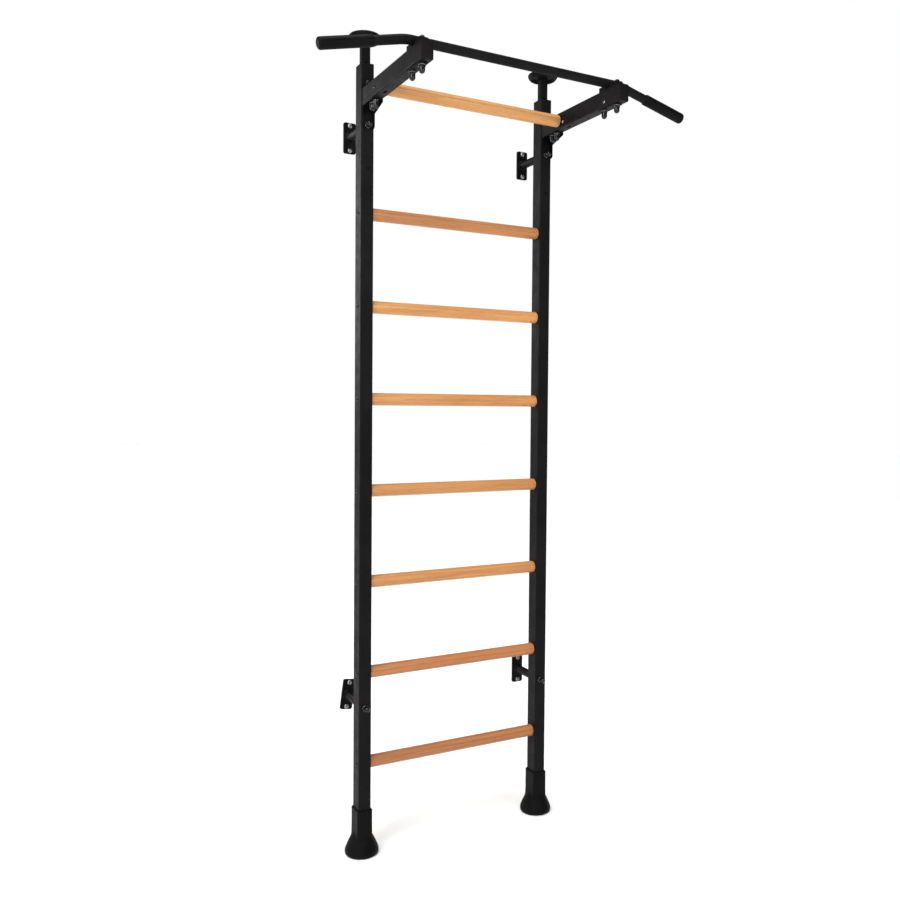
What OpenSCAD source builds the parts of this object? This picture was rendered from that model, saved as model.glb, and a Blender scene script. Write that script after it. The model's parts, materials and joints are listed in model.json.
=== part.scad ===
// Wall-fixed gymnastics ladder: two steel uprights on rubber feet, eight wooden rungs,
// a pull-up bar on two forward arms, ceiling props and four swivelling wall brackets.
// The wall is the plane y = 0, the floor is z = 0 and x = 0 lies midway between the uprights.

/* [Frame] */
// Width over both uprights
frame_w = 670; // [600:5:720]
// Width of an upright, across the ladder
post_w = 40; // [38:1:44]
// Depth of an upright, front to back
post_d = 50; // [48:1:54]
// Wall of the steel tubes
tube_t = 2; // [1.5:0.5:2]
// Height of the top of an upright
post_top = 2400; // [2395:1:2410]
// Gap between the wall and the back of an upright
wall_gap = 110; // [90:5:140]

/* [Rungs] */
// Diameter of a rung
rung_d = 38; // [34:1:40]
// Distance from one rung to the next
rung_pitch = 280; // [270:1:282]
// Height of the lowest rung
first_rung_z = 280; // [260:1:285]
// How far the top rung lies in front of the uprights
top_rung_reach = 97; // [95:1:100]

/* [Arms] */
// Width of an arm
arm_w = 35; // [32:1:38]
// Height of an arm
arm_h = 50; // [46:1:50]
// Length of an arm with its end cap
arm_len = 423; // [420:1:440]
// Height of the underside of the arms
arm_bottom = 2276; // [2270:1:2276]

/* [Pull-up bar] */
// Diameter of the bar
bar_d = 26; // [25:0.5:28]
// How far the bar lies in front of the uprights
bar_reach = 358; // [354:1:362]
// Half length of the straight middle, to the middle of each bend
bar_bend_x = 348; // [345:1:352]
// How far the ends slope down
bar_angle = 14; // [8:1:18]
// Width over the two grips
bar_span = 1180; // [1150:5:1200]
// Diameter of a grip
grip_d = 32; // [30:1:36]
// Length of a grip
grip_len = 150; // [120:5:160]

/* [Ceiling props] */
// Height of the ceiling that the pads touch
ceiling_z = 2490; // [2488:1:2500]
// Width of a prop tube
prop_w = 28; // [26:1:30]
// Depth of a prop tube
prop_d = 20; // [18:1:22]
// Diameter of a ceiling pad
pad_d = 98; // [90:1:104]

/* [Feet] */
// Diameter of a foot on the floor
foot_d = 104; // [96:1:110]
// Height of a foot with its sleeve
foot_h = 140; // [125:1:150]

/* [Wall brackets] */
// Height of the upper pair
upper_bracket_z = 2218; // [2216:1:2222]
// Height of the lower pair
lower_bracket_z = 456; // [440:1:475]
// Width of a plate
plate_w = 40; // [36:1:44]
// Height of a plate
plate_h = 96; // [94:1:104]
// Distance between the two screws of a plate
screw_pitch = 76; // [70:1:78]
// Diameter of a stem
stem_d = 26; // [24:1:30]
// Turn of the lower left plate on its stem
left_turn = 7.5; // [0:0.5:10]

/* [Hidden] */
$fn = 48;
post_x = (frame_w - post_w) / 2;
post_back = -wall_gap;
post_front = post_back - post_d;
post_y = post_back - post_d / 2;
post_bottom = 20;
tube_r = 3;
rung_len = frame_w - 2 * post_w;
top_rung_y = post_front - top_rung_reach;
arm_top = arm_bottom + arm_h;
arm_mid_z = arm_bottom + arm_h / 2;
arm_front = post_front - arm_len;
arm_wall_x = arm_w / 2;
top_rung_len = 2 * (post_x - arm_wall_x);
insert_d = 12;
insert_len = 26;
m8 = 8;
m8_hole = 8.6;
m8_thread = 8.1;
seat_gap = 0.05;
// Saddle blocks and the plates under the arms
saddle_w = 26;
saddle_len = 84;
saddle_h = 15;
saddle_floor = 4;
saddle_bolt_pitch = 62;
backing_t = 3;
nut_h = 22;
washer_t = 2;
bolt_tail = 11;
bar_y = post_front - bar_reach;
bar_z = arm_top + saddle_floor + bar_d / 2;
bend_r = 150;
bend_lap = 1;
bend_play = 0.05;
bend_start_x = bar_bend_x - bend_r * tan(bar_angle / 2);
bend_end_x = bend_start_x + bend_r * sin(bar_angle);
bend_end_z = bar_z - bend_r * (1 - cos(bar_angle));
grip_end_t = 5;
bar_end_len = (bar_span / 2 - bend_end_x) / cos(bar_angle) - grip_end_t - 3;
// Gussets under the arms
gusset_t = 3;
gusset_reach = 78;
gusset_drop = 68;
gusset_bolts_reach = [40, 66];
cap_t = 2;
slot_reach = 137;
// Screws in the arms' inner faces: reach from the upright, drop below the arm's middle
side_screws = [[126, 9], [349, 10]];
side_screw_d = 5;
// Ceiling props
lock_z = 2344;
prop_hole_pitch = 65;
prop_bottom = 2290;
pad_h = 19;
pad_roof = 10;
prop_top = ceiling_z - pad_roof + 2;
slide_gap = 0.3;
guide_len = 30;
plug_z = 2090;
weld_nut_h = 6.5;
weld_nut_af = 13;
plate_t = 3;
plate_depth = 8;
plate_r = 6;
bracket_thread = 20;
wall_screw_d = 6;
wall_screw_out = 30;

// ---- shapes shared by several pieces ----

// Rounded rectangle, centred
module rounded_rect(w, d, r) {
    square([w - 2 * r, d], center = true);
    square([w, d - 2 * r], center = true);
    for (x = [-1, 1], y = [-1, 1]) translate([x * (w / 2 - r), y * (d / 2 - r)]) circle(r);
}

// Upright rectangular tube, centred on the z axis
module rect_tube(w, d, h) {
    difference() {
        linear_extrude(h) rounded_rect(w, d, tube_r);
        translate([0, 0, -1]) linear_extrude(h + 2)
            rounded_rect(w - 2 * tube_t, d - 2 * tube_t, tube_r - tube_t / 2);
    }
}

// Cylinder along +x, +y or -y from the origin
module rod_x(d, h) { rotate([0, 90, 0]) cylinder(d = d, h = h); }
module rod_y(d, h) { rotate([-90, 0, 0]) cylinder(d = d, h = h); }

// Bolt along -z from the origin, with a low domed head above it
module dome_bolt(d, len, head_d, head_h) {
    translate([0, 0, -len]) cylinder(d = d, h = len + 1);
    cylinder(d = head_d, h = head_h / 3);
    translate([0, 0, head_h / 3]) cylinder(d1 = head_d, d2 = head_d * 0.55, h = head_h * 2 / 3);
}

// Socket-head or button bolt along -z with a hexagon recess
module recess_bolt(d, len, head_d, head_h) {
    difference() {
        union() {
            translate([0, 0, -len]) cylinder(d = d, h = len + 1);
            cylinder(d1 = head_d, d2 = head_d * 0.8, h = head_h);
        }
        translate([0, 0, head_h / 2]) cylinder(d = d * 0.65, h = head_h, $fn = 6);
    }
}

// ---- uprights, feet and top guides ----

module upright(side) {
    x = side * post_x;
    color("#2b2a2c") difference() {
        translate([x, post_y, post_bottom])
            rect_tube(post_w, post_d, post_top - post_bottom);
        for (k = [0:6])
            translate([x - post_w / 2 - 1, post_y, first_rung_z + k * rung_pitch])
                rod_x(m8_hole, post_w + 2);
        for (z = [lower_bracket_z, upper_bracket_z])
            translate([x, post_front - 1, z]) rod_y(m8_hole, post_d + 2);
        for (z = [plug_z, arm_mid_z, lock_z])
            translate([x, post_front - 1, z]) rod_y(m8_hole, tube_t + 2);
    }
}

// Boot with a round flared sole and a sleeve around the upright
module foot(side) {
    sleeve_t = 4.5;
    r = foot_d / 2;
    color("#1c1b1c") translate([side * post_x, post_y, 0]) difference() {
        union() {
            rotate_extrude() polygon([[0, 0], [r - 6, 0], [r, 8], [r, 16], [r - 2, 22], [r - 5, 30],
                [r - 10, 37], [r - 18, 48], [r - 21, 58], [r - 22, 68], [0, 68]]);
            linear_extrude(foot_h) rounded_rect(post_w + 2 * sleeve_t, post_d + 2 * sleeve_t, 5);
        }
        translate([0, 0, post_bottom]) linear_extrude(foot_h) rounded_rect(post_w, post_d, tube_r);
    }
}

module top_guide(side) {
    flange_t = 2;
    color("#161617") translate([side * post_x, post_y, 0]) difference() {
        union() {
            translate([0, 0, post_top]) linear_extrude(flange_t) rounded_rect(post_w, post_d, tube_r);
            translate([0, 0, post_top - guide_len]) linear_extrude(guide_len + 1)
                rounded_rect(post_w - 2 * tube_t, post_d - 2 * tube_t, tube_r - tube_t / 2);
        }
        translate([0, 0, post_top - guide_len - 1])
            linear_extrude(guide_len + 5)
            square([prop_w + 2 * slide_gap, prop_d + 2 * slide_gap], center = true);
    }
}

// ---- rungs and their fixings ----

// Round wooden rung along x with softened ends and a bore for an insert in each end
module rung(len, y, z) {
    soften = 2;
    color("#d9a066") translate([0, y, z]) difference() {
        union() {
            translate([-len / 2 + soften, 0, 0]) rod_x(rung_d, len - 2 * soften);
            for (s = [0, 1]) mirror([s, 0, 0]) translate([len / 2 - soften, 0, 0]) rotate([0, 90, 0])
                cylinder(d1 = rung_d, d2 = rung_d - 2 * soften, h = soften);
        }
        for (s = [0, 1]) mirror([s, 0, 0])
            translate([len / 2 - insert_len, 0, 0]) rod_x(insert_d + 2 * seat_gap, insert_len + 1);
    }
}

module ladder_rung(k) { rung(rung_len, post_y, first_rung_z + (k - 1) * rung_pitch); }
module top_rung() { rung(top_rung_len, top_rung_y, arm_mid_z); }

module insert_at(len, y, z) {
    for (s = [0, 1]) mirror([s, 0, 0]) translate([len / 2 - insert_len, y, z]) difference() {
        rod_x(insert_d, insert_len - 0.5);
        translate([-1, 0, 0]) rod_x(m8_thread, insert_len + 2);
    }
}

module rung_inserts() {
    color("#b9b49a") {
        for (k = [0:6]) insert_at(rung_len, post_y, first_rung_z + k * rung_pitch);
        insert_at(top_rung_len, top_rung_y, arm_mid_z);
    }
}

// Screws from the outer faces into the rung ends
module rung_screws(side) {
    reach_in = 22;
    color("#1b1b1c") {
        for (k = [0:6])
            translate([side * frame_w / 2, post_y, first_rung_z + k * rung_pitch])
                rotate([0, side * 90, 0]) recess_bolt(m8, post_w + reach_in, 13, 2.5);
        translate([side * (post_x + arm_wall_x), top_rung_y, arm_mid_z])
            rotate([0, side * 90, 0]) recess_bolt(m8, arm_w + reach_in, 13, 2.5);
    }
}

// ---- arms ----

module arm(side) {
    x = side * post_x;
    end_plate = 3;
    color("#2e2c2e") difference() {
        union() {
            translate([x, post_front, arm_mid_z]) rotate([90, 0, 0])
                rect_tube(arm_w, arm_h, arm_len - cap_t);
            translate([x, post_front, arm_mid_z]) rotate([90, 0, 0])
                linear_extrude(end_plate) rounded_rect(arm_w - tube_t, arm_h - tube_t, tube_r);
        }
        translate([x, post_front - 10, arm_mid_z]) rod_y(m8_hole, 20);
        translate([x - arm_w, top_rung_y, arm_mid_z]) rod_x(m8_hole, 2 * arm_w);
        for (r = gusset_bolts_reach)
            translate([x, post_front - r, arm_bottom - 1]) cylinder(d = m8_hole, h = tube_t + 2);
        for (s = [-1, 1])
            translate([x, bar_y + s * saddle_bolt_pitch / 2, arm_bottom - 1])
                cylinder(d = m8_hole, h = arm_h + 2);
        translate([x - 4, post_front - slot_reach - 8, arm_bottom - 1]) cube([8, 16, tube_t + 2]);
        for (s = [-8, 8])
            translate([x, post_front - slot_reach + s, arm_bottom - 1]) cylinder(d = 8, h = tube_t + 2);
        for (at = side_screws)
            translate([x - side * arm_w, post_front - at[0], arm_mid_z - at[1]])
                rotate([0, side * 90, 0]) cylinder(d = side_screw_d + 0.4, h = arm_w);
    }
}

module arm_cap(side) {
    plug_len = 16;
    color("#141415") translate([side * post_x, arm_front, arm_mid_z]) rotate([-90, 0, 0]) {
        linear_extrude(cap_t) rounded_rect(arm_w, arm_h, tube_r);
        linear_extrude(cap_t + plug_len)
            rounded_rect(arm_w - 2 * tube_t - 0.2, arm_h - 2 * tube_t - 0.2, tube_r - tube_t / 2);
    }
}

// Bolts inside the arms that pull their end plates against the uprights
module arm_bolts() {
    end_plate = 3;
    color("#8f9193") for (s = [-1, 1])
        translate([s * post_x, post_front - end_plate, arm_mid_z]) rotate([90, 0, 0])
            recess_bolt(m8, end_plate + tube_t + weld_nut_h, 14, 6);
}

// Two screws in the inner face of each arm
module arm_side_screws() {
    color("#c8c9cb") for (s = [-1, 1], at = side_screws)
        translate([s * (post_x - arm_wall_x), post_front - at[0], arm_mid_z - at[1]])
            rotate([0, -s * 90, 0]) recess_bolt(side_screw_d, 10, 9, 2.5);
}

// Hexagon nut with its face on z = 0 and its bore along +z
module weld_nut() {
    difference() {
        cylinder(d = weld_nut_af / cos(30), h = weld_nut_h, $fn = 6);
        translate([0, 0, -1]) cylinder(d = m8_thread, h = weld_nut_h + 2);
    }
}

// Nuts welded inside the uprights
module weld_nuts() {
    color("#9a9c9e") for (s = [-1, 1], z = [arm_mid_z, lock_z])
        translate([s * post_x, post_front + tube_t, z]) rotate([-90, 0, 0]) weld_nut();
}

// ---- gussets ----

// Outline of the cheek: x runs forward from the upright, y is the height
function gusset_outline() = [[0, 0], [gusset_reach, 0], [gusset_reach, -8], [14, -26],
    [14, -gusset_drop + 5], [8, -gusset_drop], [0, -gusset_drop]];

// Folded sheet with one leg under the arm, one on the upright and a cheek on its +x side
module gusset(side) {
    x = side * post_x;
    slot_w = 10;
    slot_low = upper_bracket_z + 14;
    slot_high = arm_bottom - 16;
    color("#1d1c1e") difference() {
        translate([x, post_front, arm_bottom]) union() {
            translate([arm_w / 2, 0, 0]) rotate([90, 0, -90]) linear_extrude(gusset_t)
                polygon(gusset_outline());
            translate([-arm_w / 2, -gusset_reach, -gusset_t]) cube([arm_w, gusset_reach, gusset_t]);
            translate([-arm_w / 2, -gusset_t, -gusset_drop]) cube([arm_w, gusset_t, gusset_drop]);
        }
        for (r = gusset_bolts_reach)
            translate([x, post_front - r, arm_bottom - gusset_t - 1])
                cylinder(d = m8_hole, h = gusset_t + 2);
        translate([x, post_front - gusset_t - 1, upper_bracket_z]) rod_y(m8_hole, gusset_t + 2);
        translate([x - slot_w / 2, post_front - gusset_t - 1, slot_low])
            cube([slot_w, gusset_t + 2, slot_high - slot_low]);
    }
}

// Bolts inside the arms, heads on the arms' floors, that carry the gussets' nuts
module gusset_bolts() {
    head_t = 5;
    shank = tube_t + gusset_t + washer_t + bolt_tail;
    color("#8f9193") for (s = [-1, 1], r = gusset_bolts_reach)
        translate([s * post_x, post_front - r, arm_bottom + tube_t]) {
            cylinder(d = weld_nut_af / cos(30), h = head_t, $fn = 6);
            translate([0, 0, -shank]) cylinder(d = m8, h = shank + 1);
        }
}

// Threaded rods from the brackets' stems through the uprights
module bracket_rods() {
    color("#8f9193") for (s = [-1, 1]) {
        bracket_rod(s, upper_bracket_z, gusset_t);
        bracket_rod(s, lower_bracket_z, 0);
    }
}

module bracket_rod(side, z, extra) {
    front = extra + washer_t + bolt_tail;
    translate([side * post_x, post_front - front, z])
        rod_y(m8, front + post_d + bracket_thread);
}

module hole_plugs() {
    color("#101011") for (s = [-1, 1]) translate([s * post_x, post_front, plug_z]) {
        rotate([90, 0, 0]) cylinder(d1 = 12, d2 = 9, h = 1.6);
        rod_y(m8_hole - 2 * seat_gap, tube_t + 4);
    }
}

// Screws that clamp the ceiling props in the uprights
module lock_screws() {
    tip = post_d / 2 - prop_d / 2 - 2 * slide_gap;
    color("#17171a") for (s = [-1, 1])
        translate([s * post_x, post_front, lock_z]) rotate([90, 0, 0]) recess_bolt(m8, tip, 14, 4.5);
}

// ---- pull-up bar ----

// Tube that follows the bar: straight in the middle, then bent down at both ends.
// The straight runs lap a little into the bends, whose wall is thinner by the bend play.
module bent_tube(d, t, end_len) {
    translate([-bend_start_x - bend_lap, bar_y, bar_z]) rotate([0, 90, 0])
        round_tube(d, t, 2 * (bend_start_x + bend_lap));
    for (s = [0, 1]) mirror([s, 0, 0]) {
        translate([bend_start_x, bar_y, bar_z - bend_r]) rotate([90, 0, 0])
            rotate([0, 0, 90 - bar_angle]) rotate_extrude(angle = bar_angle)
            translate([bend_r, 0]) difference() {
                circle(d = d - 2 * bend_play);
                circle(d = d - 2 * t + 2 * bend_play);
            }
        on_bar_end() translate([0, 0, -bend_lap]) round_tube(d, t, end_len + bend_lap);
    }
}

// Round tube along +z from the origin
module round_tube(d, t, h) {
    difference() {
        cylinder(d = d, h = h);
        translate([0, 0, -1]) cylinder(d = d - 2 * t, h = h + 2);
    }
}

// Places its children at the end of the right bend, with +z along the sloping end
module on_bar_end() {
    translate([bend_end_x, bar_y, bend_end_z]) rotate([0, 90 + bar_angle, 0]) children();
}

module pull_up_bar() {
    color("#222123") bent_tube(bar_d, tube_t, bar_end_len);
}

// Rubber sleeve with a rounded closed end
module grip(side) {
    round_r = 6;
    start = bar_end_len - grip_len + grip_end_t;
    r = grip_d / 2;
    color("#141415") mirror([side < 0 ? 1 : 0, 0, 0]) on_bar_end() translate([0, 0, start])
        rotate_extrude() difference() {
            union() {
                translate([0, 1.5]) square([r, grip_len - round_r - 1.5]);
                square([r - 1.5, 2]);
                square([r - round_r, grip_len]);
                translate([r - round_r, grip_len - round_r]) intersection() {
                    circle(round_r);
                    square(round_r);
                }
            }
            translate([-1, -1]) square([bar_d / 2 + 1, grip_len - grip_end_t + 1]);
        }
}

// Block between an arm and the bar, with a trough that the bar lies in
module saddle(side) {
    x = side * post_x;
    color("#19191b") difference() {
        translate([x - saddle_w / 2, bar_y - saddle_len / 2, arm_top])
            cube([saddle_w, saddle_len, saddle_h]);
        translate([x - saddle_w, bar_y, bar_z]) rod_x(bar_d + 2 * seat_gap, 2 * saddle_w);
        for (s = [-1, 1]) translate([x, bar_y + s * saddle_bolt_pitch / 2, arm_top - 1])
            cylinder(d = m8_hole, h = saddle_h + 2);
    }
}

module backing_plate(side) {
    x = side * post_x;
    color("#19191b") difference() {
        translate([x, bar_y, arm_bottom - backing_t]) linear_extrude(backing_t)
            rounded_rect(saddle_w, saddle_len, 4);
        for (s = [-1, 1])
            translate([x, bar_y + s * saddle_bolt_pitch / 2, arm_bottom - backing_t - 1])
                cylinder(d = m8_hole, h = backing_t + 2);
    }
}

module saddle_bolts() {
    grip = saddle_h + arm_h + backing_t + washer_t;
    color("#1b1b1d") for (x = [-1, 1], y = [-1, 1])
        translate([x * post_x, bar_y + y * saddle_bolt_pitch / 2, arm_top + saddle_h])
            dome_bolt(m8, grip + bolt_tail, 15, 8);
}

// Puts its children on every domed nut's seat, with +z pointing out along the bolt
module at_nut_seats() {
    for (s = [-1, 1]) {
        for (y = [-1, 1])
            translate([s * post_x, bar_y + y * saddle_bolt_pitch / 2, arm_bottom - backing_t])
                rotate([180, 0, 0]) children();
        for (r = gusset_bolts_reach)
            translate([s * post_x, post_front - r, arm_bottom - gusset_t])
                rotate([180, 0, 0]) children();
        translate([s * post_x, post_front - gusset_t, upper_bracket_z])
            rotate([90, 0, 0]) children();
        translate([s * post_x, post_front, lower_bracket_z]) rotate([90, 0, 0]) children();
    }
}

module acorn_nuts() {
    hex_af = 17;
    hex_h = 9;
    dome_r = 8.2;
    color("#2a2a2d") at_nut_seats() translate([0, 0, washer_t]) difference() {
        union() {
            cylinder(d = hex_af / cos(30), h = hex_h, $fn = 6);
            cylinder(r = dome_r, h = nut_h - dome_r);
            translate([0, 0, nut_h - dome_r]) sphere(dome_r);
        }
        translate([0, 0, -1]) cylinder(d = m8_thread, h = bolt_tail + 2);
    }
}

module nut_washers() {
    washer_d = 18;
    color("#b9babc") at_nut_seats() difference() {
        cylinder(d = washer_d, h = washer_t);
        translate([0, 0, -1]) cylinder(d = m8_hole, h = washer_t + 2);
    }
}

// ---- ceiling props ----

module prop_tube(side) {
    color("#242325") translate([side * post_x, post_y, 0]) difference() {
        translate([0, 0, prop_bottom]) linear_extrude(prop_top - prop_bottom)
            rounded_rect(prop_w, prop_d, 2);
        translate([0, 0, prop_bottom - 1]) linear_extrude(prop_top - prop_bottom + 2)
            rounded_rect(prop_w - 2 * tube_t, prop_d - 2 * tube_t, 1);
        for (k = [0, 1]) translate([0, -prop_d, lock_z + k * prop_hole_pitch]) rod_y(6, 2 * prop_d);
    }
}

// Plastic shoe on the lower end of a prop; its open front clears the nuts and the lock screw
module prop_glide(side) {
    glide_h = 24;
    w = post_w - 2 * tube_t - 2 * slide_gap;
    d = post_d - 2 * tube_t - 2 * slide_gap;
    color("#161617") translate([side * post_x, post_y, prop_bottom - 4]) difference() {
        linear_extrude(glide_h) rounded_rect(w, d, 2);
        translate([0, 0, 4]) linear_extrude(glide_h) rounded_rect(prop_w, prop_d, 2);
        translate([-9, -d / 2 - 1, -1]) cube([18, 14, glide_h + 2]);
    }
}

// Threaded block in the upper end of a prop
module prop_plug(side) {
    block_h = 14;
    color("#8f9193") translate([side * post_x, post_y, prop_top - block_h]) difference() {
        linear_extrude(block_h) rounded_rect(prop_w - 2 * tube_t, prop_d - 2 * tube_t, 1);
        translate([0, 0, -1]) cylinder(d = m8_thread, h = block_h + 2);
    }
}

// Round pad that presses on the ceiling; a hollow below lets the prop in up to the pad's roof
module ceiling_pad(side) {
    r = pad_d / 2;
    roof_z = pad_h - pad_roof;
    color("#171718") translate([side * post_x, post_y, ceiling_z - pad_h]) difference() {
        rotate_extrude() polygon([[0, pad_h], [r - 4, pad_h], [r - 1, pad_h - 2],
            [r, pad_h - 5], [r, pad_h - 8], [r - 3, 5], [r - 7, 1], [r - 9, 0], [r - 11, 0],
            [r - 12, 1], [r - 13, roof_z - 2], [r - 16, roof_z], [0, roof_z]]);
        linear_extrude(roof_z + prop_top - ceiling_z + pad_roof) rounded_rect(prop_w, prop_d, 2);
        cylinder(d = m8_hole, h = pad_h + 1);
        translate([0, 0, pad_h - 7]) cylinder(d1 = m8_hole, d2 = 17, h = 5);
        translate([0, 0, pad_h - 2]) cylinder(d = 17, h = 3);
    }
}

module pad_screw(side) {
    color("#9a9c9e") translate([side * post_x, post_y, ceiling_z - 7]) {
        translate([0, 0, -25]) cylinder(d = m8, h = 26);
        difference() {
            cylinder(d1 = m8, d2 = 16, h = 5);
            translate([0, 0, 3]) cylinder(d = 5, h = 3, $fn = 6);
        }
    }
}

// ---- wall brackets ----

// Dished plate and stem of one bracket, its stem's axis along y through the origin
module bracket() {
    difference() {
        union() {
            rotate([90, 0, 0]) linear_extrude(plate_depth) rounded_rect(plate_w, plate_h, plate_r);
            translate([0, post_back, 0]) rod_y(stem_d, wall_gap - plate_depth / 2);
        }
        translate([0, 1, 0]) rotate([90, 0, 0]) linear_extrude(plate_depth - plate_t + 1)
            rounded_rect(plate_w - 2 * plate_t, plate_h - 2 * plate_t, plate_r - plate_t);
        for (z = [-1, 1])
            translate([0, -plate_depth - 1, z * screw_pitch / 2])
                rod_y(wall_screw_d + 1, plate_depth + 2);
        translate([0, post_back - 1, 0]) rod_y(m8_thread, wall_gap);
        translate([0, post_back + 30, 0]) rod_y(stem_d - 5, wall_gap);
    }
}

// Two wall screws, each with a thicker neck where it passes the plate
module wall_screw_pair() {
    neck_d = wall_screw_d + 0.5;
    neck_h = plate_depth + 0.5;
    for (z = [-1, 1]) translate([0, -plate_depth, z * screw_pitch / 2]) rotate([90, 0, 0]) {
        recess_bolt(wall_screw_d, plate_depth + wall_screw_out, 15, 4);
        translate([0, 0, -neck_h]) cylinder(d = neck_d, h = neck_h);
    }
}

// Puts its children on a bracket's axis, turned about it
module at_bracket(side, z, turn) {
    translate([side * post_x, 0, z]) rotate([0, turn, 0]) children();
}

module bracket_piece(side, z, turn) { color("#1f1e20") at_bracket(side, z, turn) bracket(); }
module wall_screws(side, z, turn) { color("#c4c5c7") at_bracket(side, z, turn) wall_screw_pair(); }

// ---- the nodes ----

upright(-1);  // left_upright
upright(1);  // right_upright
foot(-1);  // left_foot
foot(1);  // right_foot
top_guide(-1);  // left_top_guide
top_guide(1);  // right_top_guide
for (k = [1:7]) ladder_rung(k);
top_rung();  // rung_8
rung_inserts();
rung_screws(-1);  // left_rung_screws
rung_screws(1);  // right_rung_screws
arm(-1);  // left_arm
arm(1);  // right_arm
arm_cap(-1);  // left_arm_cap
arm_cap(1);  // right_arm_cap
arm_bolts();
arm_side_screws();
weld_nuts();
gusset(-1);  // left_gusset
gusset(1);  // right_gusset
gusset_bolts();
bracket_rods();
hole_plugs();
lock_screws();
pull_up_bar();
grip(-1);  // left_grip
grip(1);  // right_grip
saddle(-1);  // left_saddle
saddle(1);  // right_saddle
backing_plate(-1);  // left_backing_plate
backing_plate(1);  // right_backing_plate
saddle_bolts();
acorn_nuts();
nut_washers();
prop_tube(-1);  // left_prop_tube
prop_tube(1);  // right_prop_tube
prop_glide(-1);  // left_prop_glide
prop_glide(1);  // right_prop_glide
prop_plug(-1);  // left_prop_plug
prop_plug(1);  // right_prop_plug
ceiling_pad(-1);  // left_ceiling_pad
ceiling_pad(1);  // right_ceiling_pad
pad_screw(-1);  // left_pad_screw
pad_screw(1);  // right_pad_screw
bracket_piece(-1, upper_bracket_z, 0);  // upper_left_bracket
bracket_piece(1, upper_bracket_z, 0);  // upper_right_bracket
bracket_piece(-1, lower_bracket_z, left_turn);  // lower_left_bracket
bracket_piece(1, lower_bracket_z, 0);  // lower_right_bracket
wall_screws(-1, upper_bracket_z, 0);  // upper_left_wall_screws
wall_screws(1, upper_bracket_z, 0);  // upper_right_wall_screws
wall_screws(-1, lower_bracket_z, left_turn);  // lower_left_wall_screws
wall_screws(1, lower_bracket_z, 0);  // lower_right_wall_screws
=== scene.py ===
"""Wall ladder with pull-up bar: the visual model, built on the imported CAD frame."""

import json
import math

import bmesh
import bpy
from mathutils import Euler, Matrix, Vector


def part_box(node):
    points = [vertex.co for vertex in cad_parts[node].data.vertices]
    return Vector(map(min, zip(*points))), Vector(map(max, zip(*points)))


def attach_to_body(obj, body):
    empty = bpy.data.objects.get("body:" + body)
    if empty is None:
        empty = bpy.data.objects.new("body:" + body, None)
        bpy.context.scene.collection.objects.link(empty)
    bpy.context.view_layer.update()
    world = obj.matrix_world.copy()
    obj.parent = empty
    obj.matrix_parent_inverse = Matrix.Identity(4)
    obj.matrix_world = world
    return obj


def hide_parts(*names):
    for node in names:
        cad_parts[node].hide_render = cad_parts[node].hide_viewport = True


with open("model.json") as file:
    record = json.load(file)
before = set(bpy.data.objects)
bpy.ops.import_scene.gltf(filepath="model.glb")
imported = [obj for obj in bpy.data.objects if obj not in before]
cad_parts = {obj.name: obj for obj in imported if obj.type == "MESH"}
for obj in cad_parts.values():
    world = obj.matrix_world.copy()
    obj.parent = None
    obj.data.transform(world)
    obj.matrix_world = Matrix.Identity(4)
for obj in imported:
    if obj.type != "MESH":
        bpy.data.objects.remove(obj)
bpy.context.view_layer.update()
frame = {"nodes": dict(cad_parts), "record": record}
record = frame["record"]
BODY = {n: b for b, names in record["behaviour"]["bodies"].items() for n in names}
SLOT = {s["node"]: s["material_slot"] for s in record["subparts"]}
MM = 0.001
SIDES = (("left", -1), ("right", 1))


# ---- materials ----


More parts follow.
